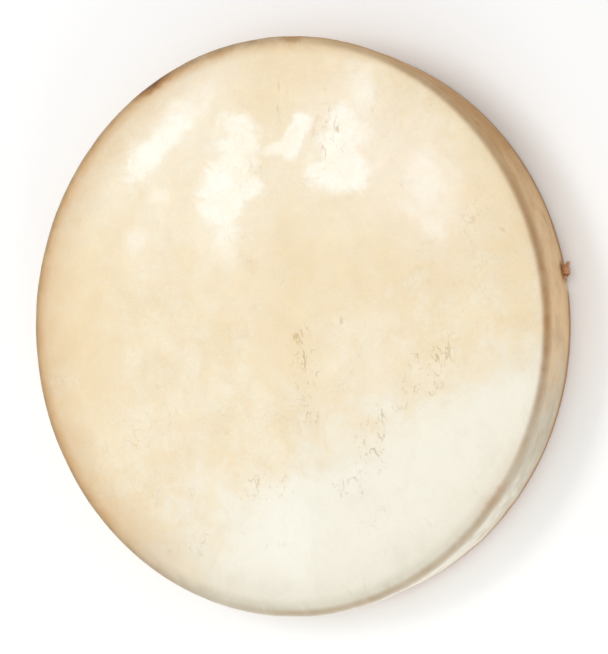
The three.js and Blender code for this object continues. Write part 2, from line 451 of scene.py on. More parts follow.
def build_hair_group():
    """Fine branching marks: borders of warped, lengthened cells, broken up where a second noise is low."""
    tree, given, result = new_group(
        "Hair marks",
        [
            ("Position", VECTOR, None),
            ("Scale", FLOAT, 110.0),
            ("Line width", FLOAT, 0.1),
            ("Amount", FLOAT, 0.5),
        ],
        [("Mask", FLOAT)],
    )
    laid = put(
        tree,
        "ShaderNodeMapping",
        {"Vector": given["Position"], "Rotation": (0.0, 0.0, 0.5 - SHOWN_SIDE), "Scale": (1.0, 0.5, 1.0)},
    ).outputs[0]
    warp = put(tree, "ShaderNodeTexNoise", {"Vector": laid, "Scale": given["Scale"], "Detail": 5.0})
    warp = vector_maths(tree, "SUBTRACT", warp.outputs[1], (0.5, 0.5, 0.5))
    warp = vector_maths(tree, "DIVIDE", warp, given["Scale"])
    cells = put(
        tree,
        "ShaderNodeTexVoronoi",
        {"Vector": vector_maths(tree, "ADD", laid, scaled(tree, warp, 2.2)), "Scale": given["Scale"]},
        voronoi_dimensions="2D",
        feature="DISTANCE_TO_EDGE",
    ).outputs[0]
    line = ramp(tree, cells, times(tree, given["Line width"], 0.2), given["Line width"], 1.0, 0.0)
    breaks = noise(tree, given["Position"], times(tree, given["Scale"], 0.9), 3.0, 0.6)
    threshold = maths(tree, "SUBTRACT", 0.72, times(tree, given["Amount"], 0.4))
    shown = ramp(tree, breaks, threshold, maths(tree, "ADD", threshold, 0.14))
    tree.links.new(times(tree, line, shown), result["Mask"])


def new_material(name):
    material = bpy.data.materials.new(name)
    material.use_nodes = True
    tree = material.node_tree
    tree.nodes.clear()
    surface = tree.nodes.new("ShaderNodeBsdfPrincipled")
    output = tree.nodes.new("ShaderNodeOutputMaterial")
    tree.links.new(surface.outputs[0], output.inputs["Surface"])
    return material, tree, surface


def finish_surface(tree, surface, base, roughness, height, bump_distance, bump_strength):
    tree.links.new(base, surface.inputs["Base Color"])
    tree.links.new(roughness, surface.inputs["Roughness"])
    bump = put(
        tree, "ShaderNodeBump", {"Strength": bump_strength, "Distance": bump_distance, "Height": height}
    ).outputs[0]
    tree.links.new(bump, surface.inputs["Normal"])


# Stains of the hide, and its painted highlights and sheen: x, y, half widths, turn in degrees, softness,
# raggedness and strength. Those of the shoulder and the side have their height and half height too. All
# lengths are in millimetres.
WARM_CLOUDS = (
    (30, 165, 42, 26, 0, 0.6, 0.6, 1.0),
    (35, 45, 80, 38, 0, 0.7, 0.8, 0.8),
    (14, 4, 25, 40, 0, 0.7, 0.8, 0.75),
    (-118, 84, 42, 22, -35, 0.8, 0.7, 0.65),
    (74, 153, 15, 15, 0, 0.7, 0.6, 0.7),
    (183, 30, 13, 46, 8, 0.8, 0.5, 0.75),
    (170, 70, 24, 60, 20, 0.7, 0.7, 0.55),
    (-163, 5, 32, 64, 0, 0.7, 0.8, 1.0),
    (45, 172, 46, 20, 0, 0.6, 0.6, 1.1),
)
GOLDEN_CLOUD = ((-120, -146, 66, 20, 40, 0.9, 0.7, 0.42),)
# Paler zones; round the polished patches they are partly a painted sheen
PALE_AND_SHEEN_ZONES = (
    (58, 103, 46, 40, 0, 0.9, 0.6, 0.7),
    (66, -48, 32, 32, 0, 0.9, 0.7, 0.55),
    (-84, -62, 62, 46, 0, 0.9, 0.8, 0.45),
    (-52, 152, 72, 30, -30, 0.8, 0.6, 1.0),
    (-16, 100, 36, 58, 0, 0.8, 0.6, 1.0),
    (-75, 95, 26, 40, 30, 0.8, 0.6, 0.7),
    (-12, -142, 24, 30, 0, 0.9, 0.4, 1.0),
)
BLUSH_ZONES = (
    (114, 92, 72, 32, 64, 0.8, 0.5, 1.0),
    (85, 135, 34, 26, 0, 0.8, 0.5, 0.8),
)
# Polished patches: painted highlights, where the hide is also less rough
POLISHED_HIGHLIGHT_PATCHES = (
    (-80, 139, 20, 12, -30, 0.6, 0.5, 1.0),
    (-52, 155, 34, 11, -34, 0.7, 0.5, 0.85),
    (-20, 172, 16, 9, -40, 0.8, 0.5, 0.5),
    (1, 134, 18, 20, 0, 0.6, 0.5, 0.75),
    (-5, 116, 16, 16, 0, 0.6, 0.5, 0.85),
    (-21, 97, 16, 23, 10, 0.5, 0.5, 1.0),
    (5, 99, 11, 9, 0, 0.6, 0.5, 0.8),
    (-21, 70, 13, 20, 0, 0.8, 0.5, 0.6),
    (31, 121, 14, 5, 0, 0.6, 0.5, 0.7),
    (45, 126, 15, 8, -50, 0.5, 0.5, 1.0),
    (83, 128, 12, 13, 0, 0.6, 0.5, 0.75),
    (76, 113, 21, 11, 0, 0.6, 0.5, 0.85),
    (74, 93, 22, 14, 14, 0.5, 0.5, 1.0),
    (99, 145, 11, 19, 0, 0.7, 0.5, 0.5),
    (133, 72, 20, 22, 20, 0.9, 0.6, 0.5),
    (132, 43, 9, 10, 0, 0.7, 0.5, 0.5),
    (-72, 109, 11, 6, 0, 0.7, 0.5, 0.5),
    (-98, 82, 10, 9, 0, 0.9, 0.8, 0.45),
)
HAIR_CLUSTERS = (
    (23, -30, 10, 36, 8, 0.5, 0.6, 1.0),
    (108, -55, 28, 12, -38, 0.5, 0.6, 1.0),
    (63, -92, 11, 25, 22, 0.5, 0.6, 1.0),
    (42, -118, 13, 9, 0, 0.5, 0.6, 1.0),
    (-20, -111, 22, 8, 0, 0.7, 0.8, 0.8),
    (-90, -140, 16, 9, 0, 0.7, 0.8, 0.6),
    (61, -165, 5, 7, 0, 0.7, 0.8, 0.6),
    (69, 118, 11, 20, 10, 0.6, 0.7, 0.9),
    (164, 46, 8, 18, 50, 0.7, 0.8, 0.5),
    (-120, -60, 30, 40, 30, 0.9, 0.8, 0.35),
)
# On the shoulder, and round the knot
SCUFFS = (
    (-60, 191, 19, 5.5, -17, 0.4, 0.3, 1.0, 45, 8),
    (53, 194, 6, 3, 16, 0.5, 0.8, 0.6, 45, 6),
    (203, 0, 6, 7, 0, 0.5, 0.5, 0.6, 10, 6),
)
FAINT_SCUFF = ((142, -139.5, 10, 3.2, -45, 0.7, 0.5, 0.3, 45, 5),)
SCUFF_CORE = ((-62, 192.5, 16, 3.4, -17, 0.5, 0.6, 0.85, 45, 8),)
RUBBED_SPOT = ((202, -11, 4, 4, 0, 0.5, 0.5, 0.4, 4, 4),)
BROWN_SPECK = ((56, -6.4, 1.3, 2.6, 10, 0.6, 0.4, 0.3),)
# Creases: x and y of both ends, and the width, in millimetres
CREASES = (
    (42.5, 181, 34, 134, 1.1),
    (61, 171, 56, 139, 1.2),
    (66.5, 137, 51, 112, 2.2),
    (163, 43, 172, 36, 1.3),
    (176, 33, 186, 26, 1.3),
)
# The noises that break up the stains, by their scale
COARSE, MEDIUM, FINE = 30.0, 55.0, 110.0
# Half height of a stain in the face: past the shoulder and well down the side
FACE_STAIN_REACH = 30.0


class HidePaint:
    """The rawhide's colour while it is laid on in coats, and the places on the drum to lay them by.

    A mask is 1 where a coat covers and 0 where it is absent."""

    def __init__(self, tree, first_coat):
        self.tree = tree
        self.coat = rgba(first_coat)
        self.position = tree.nodes.new("ShaderNodeTexCoord").outputs["Object"]
        x, y, self.z = put(tree, "ShaderNodeSeparateXYZ", {0: self.position}).outputs
        self.radius = maths(tree, "SQRT", maths(tree, "ADD", self.times(x, x), self.times(y, y)))
        self.shakes = {grain: self.noise(grain, 5.0, 0.62, 0.6) for grain in (COARSE, MEDIUM, FINE)}

    def joined(self, operation, masks):
        total = masks[0]
        for mask in masks[1:]:
            total = maths(self.tree, operation, total, mask)
        return total

    def times(self, *masks):
        return self.joined("MULTIPLY", masks)

    def most(self, *masks):
        return self.joined("MAXIMUM", masks)

    def ramp(self, value, low, high, start=0.0, end=1.0):
        return ramp(self.tree, value, low, high, start, end)

    def noise(self, scale, detail, roughness, distortion=0.0, place=None):
        place = self.position if place is None else place
        return noise(self.tree, place, scale, detail, roughness, distortion)

    def stretched(self, scale, turn=0.0):
        """The drum's places turned about its axis and then scaled."""
        inputs = {"Vector": self.position, "Rotation": (0.0, 0.0, turn), "Scale": scale}
        return put(self.tree, "ShaderNodeMapping", inputs).outputs[0]

    def shaken(self, value, shake, amount):
        """A value with a noise added, which is 0 in the middle of its range."""
        return maths(self.tree, "ADD", value, self.times(maths(self.tree, "SUBTRACT", shake, 0.5), amount))

    def leaning(self, degrees):
        """From -1 to 1: how far a place lies towards that side of the drum, as the camera sees its sides."""
        angle = SHOWN_SIDE + math.radians(degrees)
        side = vector_maths(self.tree, "DOT_PRODUCT", self.position, (math.cos(angle), math.sin(angle), 0.0))
        return maths(self.tree, "DIVIDE", side, OUTER_RADIUS)

    def towards(self, degrees, low, high, start=0.0, end=1.0):
        """A smooth step from start to end, as a place leans from low to high towards that side."""
        return self.ramp(self.leaning(degrees), low, high, start, end)

    def from_side(self, start_mm, full_mm, radius=None):
        """A smooth step from 0 at one distance in from the drum's side to 1 at another."""
        radius = self.radius if radius is None else radius
        return self.ramp(radius, OUTER_RADIUS - start_mm * MM, OUTER_RADIUS - full_mm * MM)

    def below_face(self, start_mm, full_mm):
        """A smooth step from 0 at one depth below the struck face to 1 at another."""
        return self.ramp(self.z, DEPTH - start_mm * MM, DEPTH - full_mm * MM)

    def above_back(self, start_mm, full_mm, end=1.0):
        """A smooth step from 0 at one height above the back edge to its end value at another."""
        return self.ramp(self.z, start_mm * MM, full_mm * MM, 0.0, end)

    def stains(self, grain, rows):
        """The strongest of several ragged stains, broken up by the noise of that grain."""
        masks = []
        for x, y, half_x, half_y, turn, softness, raggedness, strength, *upright in rows:
            height, half_height = upright or (DEPTH / MM, FACE_STAIN_REACH)
            inputs = {
                "Position": self.position,
                "Noise": self.shakes[grain],
                "Centre": (x * MM, y * MM, height * MM),
                "Half width": (half_x * MM, half_y * MM, half_height * MM),
                "Turn": math.radians(turn),
                "Softness": softness,
                "Raggedness": raggedness,
            }
            masks.append(self.times(use_group(self.tree, "Ragged stain", inputs)["Mask"], strength))
        return self.most(*masks)

    def lay(self, colour, mask, strength=1.0):
        """Lays on a coat, of one colour or of the varying colour that a socket gives."""
        colour = colour if isinstance(colour, bpy.types.NodeSocket) else rgba(colour)
        self.coat = blend(self.tree, self.times(mask, strength), self.coat, colour)


def paint_face(paint, hide, skin, fine_clouds):
    """The face: clouds, smears, flecks, the bleached side with painted light, the polished patches with
    painted highlights. Gives back the last two.
    """
    smears = paint.noise(48.0, 7.0, 0.68, 0.8, paint.stretched((1.0, 0.7, 1.0), -SHOWN_SIDE))
    smears = paint.ramp(smears, 0.42, 0.68)
    paint.lay(hide.warm, skin["Clouds"], 0.72)
    paint.lay(hide.pale, fine_clouds, 0.38)
    paint.lay(hide.warm, smears, 0.42)
    paint.lay(hide.dull, paint.ramp(paint.noise(27.0, 9.0, 0.74, 0.5), 0.40, 0.66, 0.0, 0.15))
    paint.lay(hide.fleck, paint.ramp(paint.noise(400.0, 3.0, 0.65), 0.42, 0.66, 0.0, 0.10))
    paint.lay(hide.warm, paint.stains(COARSE, WARM_CLOUDS), 0.62)

    # The bleached side, its border ragged: partly bleached hide, partly painted light on the lower right
    bleached_and_lit = paint.ramp(paint.shaken(paint.leaning(-65), paint.noise(20.0, 6.0, 0.6, 0.5), 0.7), 0.33, 0.62)
    paint.lay(hide.pale, bleached_and_lit, 0.88)
    paint.lay(hide.side_grey, paint.times(bleached_and_lit, paint.ramp(smears, 0.0, 1.0, 0.0, 0.10)))
    paint.lay(hide.warm, paint.stains(COARSE, GOLDEN_CLOUD))

    # Paler zones, partly a painted sheen round the highlights, and the polished patches in them, painted as
    # highlights
    paint.lay(hide.polish_and_highlight, paint.stains(COARSE, PALE_AND_SHEEN_ZONES), 0.35)
    paint.lay(hide.blush, paint.stains(COARSE, BLUSH_ZONES), 0.55)
    polish_and_highlight = paint.ramp(paint.stains(MEDIUM, POLISHED_HIGHLIGHT_PATCHES), 0.03, 0.88)
    polish_and_highlight = paint.times(polish_and_highlight, paint.ramp(fine_clouds, 0.0, 0.8, 0.66, 1.0))
    paint.lay(hide.polish_and_highlight, polish_and_highlight, 0.67)
    return bleached_and_lit, polish_and_highlight


def paint_rim(paint, hide):
    """The face darkens towards its edge, most on the left and at the bottom: partly handling grime, partly
    painted shade.
    """
    tint = blend(paint.tree, paint.towards(-75, 0.45, 0.9), rgba(hide.tan), rgba(hide.side_grey))
    held_and_shaded = paint.most(paint.towards(185, -0.35, 0.8, 0.02, 0.58), paint.towards(262, 0.0, 0.8, 0.0, 0.34))
    shaken_radius = paint.shaken(paint.radius, paint.noise(24.0, 3.0, 0.5), 0.03)
    paint.lay(tint, paint.times(paint.from_side(45, 1, shaken_radius), held_and_shaded))
    rim = paint.most(paint.towards(185, -0.7, 0.3, 0.10, 0.98), paint.towards(265, 0.1, 0.8, 0.0, 0.8))
    rim = paint.times(rim, paint.ramp(paint.shakes[MEDIUM], 0.35, 0.65, 0.7, 1.15))
    paint.lay(tint, paint.times(paint.from_side(15, 4.5), rim))


def paint_side(paint, hide):
    """The side: painted shade, then tan, then grey and pale, partly bleached hide and partly painted light,
    with streaks along it. Gives back its mask.
    """
    along = paint.shaken(paint.leaning(-65), paint.shakes[COARSE], 0.5)
    streaks = paint.noise(60.0, 4.0, 0.6, place=paint.stretched((1.0, 1.0, 1.3)))
    # Painted shade on the side that turns from the light, painted light on its lower right
    tint = coated(paint.tree, hide.side_shade, (
        (paint.ramp(along, -0.35, 0.25), hide.side),
        (paint.towards(200, -0.2, 0.5, 0.0, 0.85), hide.side),
        (paint.ramp(along, 0.38, 0.75), hide.side_grey),
        (paint.ramp(along, 0.74, 1.06), hide.pale),
        (paint.ramp(streaks, 0.42, 0.80, 0.0, 0.34), hide.brown),
        (paint.ramp(streaks, 0.56, 0.16, 0.0, 0.22), hide.cream),
    ))
    side = paint.below_face(1.2, 4.8)
    paint.lay(tint, side, 0.95)
    return side


def paint_grime(paint, hide):
    """Grime and painted shade: a line where the hide turns over the shoulder, partly grime, partly painted
    shade; painted shade just below it, broken up like grime; and a brown back edge.
    """
    # The shoulder line: partly grime, partly painted shade where the shoulder turns away
    browned = paint.most(paint.towards(2, 0.93, 0.99), paint.towards(60, 0.4, 0.8, 0.0, 0.85))
    tint = blend(paint.tree, browned, rgba(hide.line_grey), rgba(hide.brown))
    amount = paint.times(
        paint.towards(-10, -0.15, 0.4),
        paint.towards(2, 0.86, 0.99, 0.76, 0.92),
        paint.ramp(paint.shakes[MEDIUM], 0.38, 0.58, 0.85, 1.0),
    )
    paint.lay(tint, paint.times(paint.from_side(6.9, 3.2), paint.below_face(5.6, 1.5), amount))
    # Painted shade along the outermost line of the shoulder, broken up by noise like grime
    outermost = paint.times(
        paint.from_side(7.5, 1.8),
        paint.below_face(9.5, 3.8),
        paint.towards(165, -0.3, 0.5, 0.05, 0.72),
        paint.ramp(paint.shakes[FINE], 0.36, 0.64, 0.6, 1.0),
    )
    paint.lay(hide.edge_grime_and_shade, outermost)
    paint.lay(hide.tan, paint.above_back(13, 7, 0.35))
    paint.lay(hide.brown, paint.times(paint.above_back(7.6, 5), paint.from_side(4.5, 2)), 0.85)

    # Scuffs on the shoulder, the stain round the knot and a rubbed spot beside it
    paint.lay(hide.brown, paint.stains(FINE, SCUFFS), 0.9)
    paint.lay(hide.brown, paint.stains(FINE, FAINT_SCUFF))
    paint.lay(hide.scuff_core, paint.stains(FINE, SCUFF_CORE))
    paint.lay(hide.polish_and_highlight, paint.stains(FINE, RUBBED_SPOT))


def paint_hairs(paint, hide, bleached_and_lit):
    """Hairline marks, coarse and fine, in clusters and strayed over the face. Gives back their mask."""
    coarse, fine = (
        use_group(
            paint.tree,
            "Hair marks",
            {"Position": paint.position, "Scale": scale, "Line width": line, "Amount": amount},
        )["Mask"]
        for scale, line, amount in ((105.0, 0.075, 0.62), (260.0, 0.16, 0.5))
    )
    clusters = paint.stains(MEDIUM, HAIR_CLUSTERS)
    stray = paint.times(paint.ramp(paint.shakes[COARSE], 0.54, 0.66, 0.05, 0.5), paint.below_face(4, 1.5))
    coarse = paint.times(coarse, paint.most(clusters, paint.times(stray, 0.6)))
    fine = paint.times(fine, paint.most(clusters, stray), 0.6)
    hairs = paint.most(coarse, fine)
    tint = blend(paint.tree, bleached_and_lit, rgba(hide.hair_brown), rgba(hide.hair_grey))
    paint.lay(tint, hairs, 0.6)
    return hairs


def paint_creases(paint, hide):
    """Creases pressed in as the hide dried. Gives back their mask."""
    wander = put(
        paint.tree, "ShaderNodeTexNoise", {"Vector": paint.position, "Scale": 45.0, "Detail": 1.0}
    ).outputs[1]
    masks = []
    for start_x, start_y, end_x, end_y, width in CREASES:
        inputs = {
            "Position": paint.position,
            "Wander": wander,
            "Start": (start_x * MM, start_y * MM, DEPTH),
            "End": (end_x * MM, end_y * MM, DEPTH),
            "Width": width * MM,
        }
        masks.append(use_group(paint.tree, "Crease", inputs)["Mask"])
    creases = paint.most(*masks)
    paint.lay(hide.tan, creases, 0.26)
    return creases


def rawhide_material(hide):
    material, tree, surface = new_material("rawhide")
    paint = HidePaint(tree, hide.cream)
    scales = {"Pore scale": 1500.0, "Cloud scale": 17.0}
    skin = use_group(tree, "Dried skin", {"Position": paint.position, **scales})
    fine_clouds = paint.ramp(paint.noise(70.0, 7.0, 0.72, 0.4), 0.34, 0.66)
    bleached_and_lit, polish_and_highlight = paint_face(paint, hide, skin, fine_clouds)
    paint_rim(paint, hide)
    side = paint_side(paint, hide)
    paint_grime(paint, hide)
    hairs = paint_hairs(paint, hide, bleached_and_lit)
    paint.lay(hide.brown, paint.stains(FINE, BROWN_SPECK))
    paint.lay(hide.brown, skin["Specks"], 0.10)
    creases = paint_creases(paint, hide)

    rough = maths(tree, "ADD", 0.40, paint.times(fine_clouds, 0.12))
    rough = maths(tree, "SUBTRACT", rough, paint.times(polish_and_highlight, 0.20))
    rough = maths(tree, "ADD", rough, paint.times(side, 0.12))
    height = maths(tree, "ADD", skin["Height"], paint.times(fine_clouds, 0.9))
    height = maths(tree, "SUBTRACT", height, paint.times(hairs, 0.35))
    height = maths(tree, "SUBTRACT", height, paint.times(creases, 1.2))
    finish_surface(tree, surface, paint.coat, rough, height, 0.35 * MM, 0.55)
    return material


def wood_material(hoop):
    material, tree, surface = new_material("bent_wood")
    place = put(tree, "ShaderNodeUVMap", uv_map="UVMap").outputs[0]

    def along_strip(share, *settings):
        """A noise drawn out along the bent strip, whose length counts for that share only."""
        drawn_out = put(tree, "ShaderNodeMapping", {"Vector": place, "Scale": (share, 1.0, 1.0)}).outputs[0]
        return noise(tree, drawn_out, *settings)

    grain = along_strip(0.06, 420.0, 7.0, 0.62, 0.5)
    bands = along_strip(0.02, 110.0, 3.0, 0.5, 1.2)
    pores = along_strip(0.06, 1600.0, 2.0, 0.5)
    grime = noise(tree, tree.nodes.new("ShaderNodeTexCoord").outputs["Object"], 24.0, 5.0, 0.6)
    along = put(tree, "ShaderNodeSeparateXYZ", {0: place}).outputs[0]
    from_lap = maths(tree, "ABSOLUTE", maths(tree, "SUBTRACT", along, hoop.lap_place))
    lap = ramp(tree, from_lap, 0.4 * MM, 1.1 * MM, 1.0, 0.0)
    base = coated(tree, hoop.wood, (
        (ramp(tree, bands, 0.35, 0.68), hoop.wood_dark),
        (ramp(tree, grain, 0.45, 0.7, 0.0, 0.55), hoop.wood_dark),
        (ramp(tree, pores, 0.60, 0.72, 0.0, 0.5), hoop.pore),
        (ramp(tree, grime, 0.5, 0.7, 0.0, 0.35), hoop.grime),
        (times(tree, lap, 0.8), hoop.glue),
    ))
    rough = ramp(tree, grain, 0.3, 0.7, 0.5, 0.68)
    height = maths(tree, "SUBTRACT", maths(tree, "SUBTRACT", grain, times(tree, pores, 0.4)), lap)
    finish_surface(tree, surface, base, rough, height, 0.4 * MM, 0.5)
    return material


def lace_material(lace):
    material, tree, surface = new_material("lace_leather")
    position = tree.nodes.new("ShaderNodeTexCoord").outputs["Object"]
    place = put(tree, "ShaderNodeUVMap", uv_map="UVMap").outputs[0]
    from_end, corner, _ = put(tree, "ShaderNodeSeparateXYZ", {0: place}).outputs
    skin = use_group(tree, "Dried skin", {"Position": position, "Pore scale": 3200.0, "Cloud scale": 160.0})
    drawn_out = put(tree, "ShaderNodeMapping", {"Vector": place, "Scale": (60.0, 6.0, 1.0)}).outputs[0]
    fibres = noise(tree, drawn_out, 9.0, 4.0, 0.6)
    # Rubbed corners: partly wear, partly a painted highlight
    worn_and_highlight = times(tree, ramp(tree, corner, 0.72, 0.98), ramp(tree, fibres, 0.35, 0.65))
    base = coated(tree, lace.leather, (
        (times(tree, skin["Clouds"], 0.5), lace.leather_worn_and_highlight),
        (times(tree, worn_and_highlight, 0.7), lace.leather_worn_and_highlight),
        (ramp(tree, from_end, 1.1 * MM, 0.2 * MM), lace.cut_end),
    ))
    rough = ramp(tree, skin["Clouds"], 0.0, 1.0, 0.5, 0.72)
    height = maths(tree, "ADD", skin["Height"], times(tree, fibres, 0.6))
    finish_surface(tree, surface, base, rough, height, 0.25 * MM, 0.6)
    return material


def floor_material(studio):
    """A pale matt floor that is clear from below, so that the open back can be looked into."""
    material, tree, surface = new_material("studio_floor")
    surface.inputs["Base Color"].default_value = rgba(studio.floor)
    surface.inputs["Roughness"].default_value = 0.9
    surface.inputs["Specular IOR Level"].default_value = 0.1
    clear = tree.nodes.new("ShaderNodeBsdfTransparent")
    below = tree.nodes.new("ShaderNodeNewGeometry").outputs["Backfacing"]
    choice = put(tree, "ShaderNodeMixShader", {0: below, 1: surface.outputs[0], 2: clear.outputs[0]})
    tree.links.new(choice.outputs[0], tree.nodes["Material Output"].inputs["Surface"])
    return material


# Pieces


class DRUM_OT_rawhide(bpy.types.Operator):
    """Stretch the rawhide head over the hoop and turn it in round the back edge"""

    bl_idname = "frame_drum.rawhide"
    bl_label = "Rawhide Head"

    def execute(self, context):
        hide = context.scene.drum_rawhide
        hoop = context.scene.drum_hoop
        steps = 480
        angles = np.arange(steps) * 2 * np.pi / steps
        under = hide.thickness + hoop.fit_gap
        crown = OUTER_RADIUS - under - hoop.wall + hoop.crown_inset
        leaf = OUTER_RADIUS - 2 * under - hoop.wall
        low_shoulder = DEPTH - hide.shoulder_drop
        e = hoop.edge_radius + under
        parts = [
            straight((0.0, DEPTH), (crown, DEPTH), 84, (0, 1)),
            arc(crown, low_shoulder, OUTER_RADIUS - crown, hide.shoulder_drop, 90, 0, 14),
            straight((OUTER_RADIUS, low_shoulder), (OUTER_RADIUS, e), 20, (1, 0)),
            arc(OUTER_RADIUS - e, e, e, e, 0, -90, 7),
            straight((OUTER_RADIUS - e, 0.0), (leaf + e, 0.0), 3, (0, -1)),
            arc(leaf + e, e, e, e, -90, -180, 7),
            straight((leaf, e), (leaf, hide.leaf_height), 9, (-1, 0)),
        ]
        rows = np.vstack([p[0] for p in parts])
        normals = np.vstack([p[1] for p in parts])
        starts = np.cumsum([0] + [len(p[0]) for p in parts])
        part_of = np.repeat(np.arange(len(parts)), np.diff(starts))
        face, shoulder, side, outer_bend, _, _, turned_in = (part_of == part for part in range(len(parts)))

        # The cut edge of the leaf wanders: each row of the leaf is lowered by its share of the height
        plain = turned(rows[:, None, :], angles[None, :])
        edge_points = turned(np.array([[leaf, 0.0]])[:, None, :], angles[None, :])[0]
        wander = waves(edge_points, 22 * MM, 5) * 0.3 + waves(edge_points, 90 * MM, 6) * 0.3
        lowered = hide.ragged * (0.5 + np.clip(wander, -0.5, 0.5))
        share = np.where(turned_in, (rows[:, 1] - e) / (hide.leaf_height - e), 0.0)
        plain[..., 2] -= share[:, None] * lowered[None, :]

        # Ripples in the face, puckers in the side and the leaf, and a dent under the knot
        weight_face = np.select([face, shoulder], [1.0, 0.5], 0.0)
        weight_side = np.select([shoulder, side | outer_bend | turned_in], [0.5, 1.0], 0.0)
        weight_side *= np.clip((rows[:, 1] - 0.3 * MM) / (5 * MM), 0, 1)
        ripple = 0.6 * waves(plain, 46 * MM, 1) + 0.4 * waves(plain, 20 * MM, 2) - 1.0
        upright = plain * np.array([1.0, 1.0, 0.25])
        pucker = waves(upright, 17 * MM, 3) * (0.4 + 0.6 * np.clip(waves(plain, 120 * MM, 4), 0, 1))
        lift = hide.ripple * ripple * weight_face[:, None] + hide.pucker * pucker * weight_side[:, None]
        lift += hide.pucker * 1.6 * share[:, None]
        knot_at = np.array([OUTER_RADIUS, 0.0, context.scene.drum_lace.height])
        near_knot = np.exp(-np.sum((plain - knot_at) ** 2, axis=-1) / (4 * MM) ** 2)
        lift -= hide.knot_dent * near_knot * (side | outer_bend)[:, None]
        turned_normals = turned(normals[:, None, :], angles[None, :])
        outside = plain + turned_normals * lift[..., None]

        # The inner side lies one thickness inside the outer one. From each part it takes every so many rings
        every = ((3, 4), (1, 2), (1, 3), (0, 2), (0, 2), (1, 2), (0, 2))
        spans = zip(starts, starts[1:], every)
        picked = [np.arange(low + first, high, step) for low, high, (first, step) in spans]
        picked = np.unique(np.append(np.concatenate(picked), len(rows) - 1))[::-1]
        inside = (outside - turned_normals * hide.thickness)[picked]
        rings = np.concatenate([outside, inside])
        top = [[0.0, 0.0, outside[0, :, 2].mean()]]
        bottom = [[0.0, 0.0, inside[-1, :, 2].mean()]]
        points = np.vstack([rings.reshape(-1, 3), top, bottom])
        faces = ring_quads(len(rings), steps), end_fans(len(rings), steps)[:, ::-1]
        head = new_object("rawhide_skin", points, faces)
        bore_lace_holes(head, context.scene.drum_lace)
        head.data.materials.append(rawhide_material(hide))
        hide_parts("rawhide_head")
        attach(head, "root")
        return {"FINISHED"}


class DRUM_OT_hoop(bpy.types.Operator):
    """Bend the wooden hoop that lies under the hide"""

    bl_idname = "frame_drum.hoop"
    bl_label = "Bent Hoop"

    def execute(self, context):
        hoop = context.scene.drum_hoop
        hide = context.scene.drum_rawhide
        steps = 360
        under = hide.thickness + hoop.fit_gap
        outer = OUTER_RADIUS - under
        inner = outer - hoop.wall
        low = under
        high = DEPTH - under
        crown = inner + hoop.crown_inset
        e, c = hoop.edge_radius, hoop.crown_inset
        across, up = OUTER_RADIUS - crown - under, hide.shoulder_drop - under
        parts = [
            straight((inner, high - c), (inner, low + e), 16, (-1, 0)),
            arc(inner + e, low + e, e, e, 180, 270, 5),
            straight((inner + e, low), (outer - e, low), 4, (0, -1)),
            arc(outer - e, low + e, e, e, -90, 0, 5),
            straight((outer, low + e), (outer, DEPTH - hide.shoulder_drop), 8, (1, 0)),
            arc(crown, DEPTH - hide.shoulder_drop, across, up, 0, 90, 10),
            arc(crown, high - c, c, c, 90, 180, 5),
        ]
        rows = np.vstack([p[0] for p in parts])[::-1]
        normals = np.vstack([p[1] for p in parts])[::-1]
        angles = np.arange(steps) * 2 * np.pi / steps
        plain = turned(rows[:, None, :], angles[None, :])
        planed = waves(plain * np.array([1.0, 1.0, 2.5]), 55 * MM, 7) * hoop.planing
        rings = plain + turned(normals[:, None, :], angles[None, :]) * planed[..., None]
        faces = ring_quads(len(rows), steps, close_rows=True), np.zeros((0, 3), int)
        lengths = np.linalg.norm(np.diff(np.vstack([rows, rows[:1]]), axis=0), axis=1)
        travelled = np.concatenate([[0.0], np.cumsum(lengths)])
        i = np.repeat(np.arange(len(rows)), steps)
        j = np.tile(np.arange(steps), len(rows))
        turn = 2 * np.pi * OUTER_RADIUS / steps
        uv = np.stack([
            np.stack([j, j, j + 1, j + 1], -1) * turn,
            np.stack([travelled[i], travelled[i + 1], travelled[i + 1], travelled[i]], -1),
        ], -1)
        ring = new_object("hoop_wood", rings.reshape(-1, 3), faces, uv.reshape(-1, 2))
        bore_lace_holes(ring, context.scene.drum_lace)
        ring.data.materials.append(wood_material(hoop))
        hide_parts("bent_hoop")
        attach(ring, "root")
        return {"FINISHED"}


# The lace's ends and its way through the holes: x out from the drum's side, y from between the two holes,
# and z up from them, in millimetres
FIRST_END = ((4.4, 5.3, -2.4), (3.9, 3.8, -1.7))
INTO_HOLE = ((0.9, -3.3, -0.4), (-0.4, -3.5, 0.0), (-5.0, -3.5, 0.0))
OUT_OF_HOLE = ((-5.0, 3.5, 0.0), (-0.2, 3.5, 0.0), (1.2, 3.2, 0.0), (2.1, 2.2, 0.0))
LAST_END = ((2.3, 0.8, 0.0), (2.4, -0.9, 0.0), (2.7, -2.6, 0.2), (3.4, -3.9, 0.9), (4.2, -5.0, 1.7))


